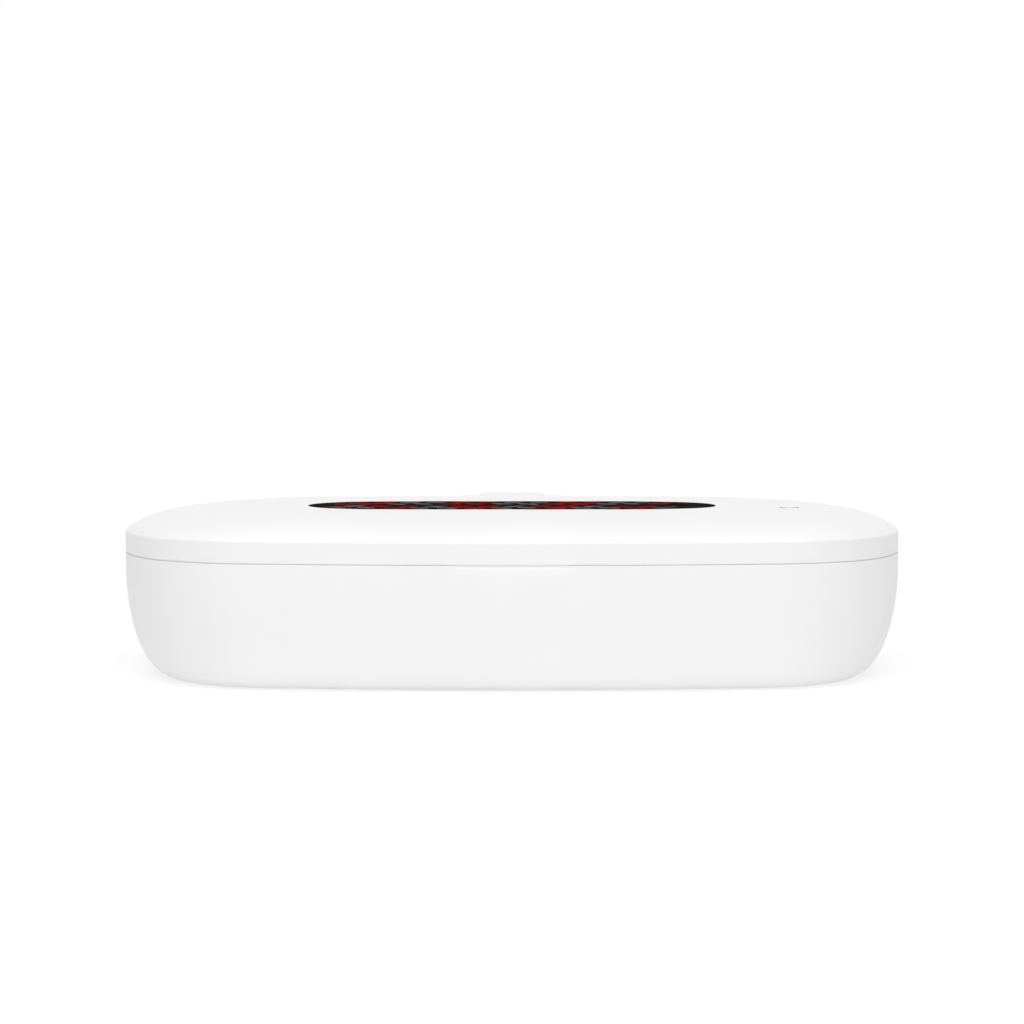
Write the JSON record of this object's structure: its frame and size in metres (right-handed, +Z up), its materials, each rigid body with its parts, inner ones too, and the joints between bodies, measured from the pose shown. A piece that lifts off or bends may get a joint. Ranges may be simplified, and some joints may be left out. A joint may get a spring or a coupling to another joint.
{
  "type": "uv sanitizer box for phones",
  "caption": "White rounded sanitizer box for a phone: a bowl-shaped base with a UV-lit tray under a domed lid on a rear hinge, with a push button on the lid.",
  "frame": {"origin": "on the table under the middle of the box", "axes": "+Z up, the front with its finger notch faces -Y, the button end is +X"},
  "size_m": [0.22, 0.1243, 0.0474],
  "materials": {
    "shell_plastic": "white ABS, fine satin",
    "tray_plastic": "bright reflective plastic, glossy",
    "quartz": "clear quartz, polished",
    "led_ceramic": "ceramic LED package with gold pads",
    "white_board": "white solder mask",
    "green_board": "green solder mask",
    "black_parts": "black moulded components",
    "socket_steel": "plated steel socket shell",
    "screw_steel": "zinc plated",
    "grey_rubber": "soft matt",
    "nickel": "nickel plated magnet",
    "pin_steel": "ground steel pin",
    "copper_wire": "enamelled copper litz",
    "ferrite": "dark ferrite",
    "button_plastic": "white ABS, satin"
  },
  "bodies": {
    "base": {"base_shell": "shell_plastic", "chamber_tray": "tray_plastic", "base_windows": "quartz", "base_uv_leds": "led_ceramic", "base_led_board": "white_board", "main_board": "green_board", "board_parts": "black_parts", "usb_socket": "socket_steel", "board_screws": "screw_steel", "tray_screws": "screw_steel", "rubber_feet": "grey_rubber", "base_magnets": "nickel", "lid_sensor": "green_board", "hinge_pin": "pin_steel"},
    "lid": {"lid_cover": "shell_plastic", "lid_liner": "tray_plastic", "lid_windows": "quartz", "lid_uv_leds": "led_ceramic", "lid_led_board": "white_board", "charging_coil": "copper_wire", "ferrite_sheet": "ferrite", "lid_board": "green_board", "lid_board_parts": "black_parts", "switch_body": "black_parts", "lid_magnets": "nickel", "liner_screws": "screw_steel", "lid_board_screws": "screw_steel"},
    "button": {"button_cap": "button_plastic", "switch_plunger": "black_parts"}
  },
  "joints": [
    {"name": "lid_hinge", "type": "hinge", "parent": "base", "child": "lid", "pos_m": [0, 0.059, 0.042], "axis": [-1, 0, 0], "range_deg": [0, 100]},
    {"name": "button_press", "type": "slide", "parent": "lid", "child": "button", "axis": [0, 0, -1], "range_m": [0, 0.0004], "stiffness_N_per_m": 4000}
  ]
}
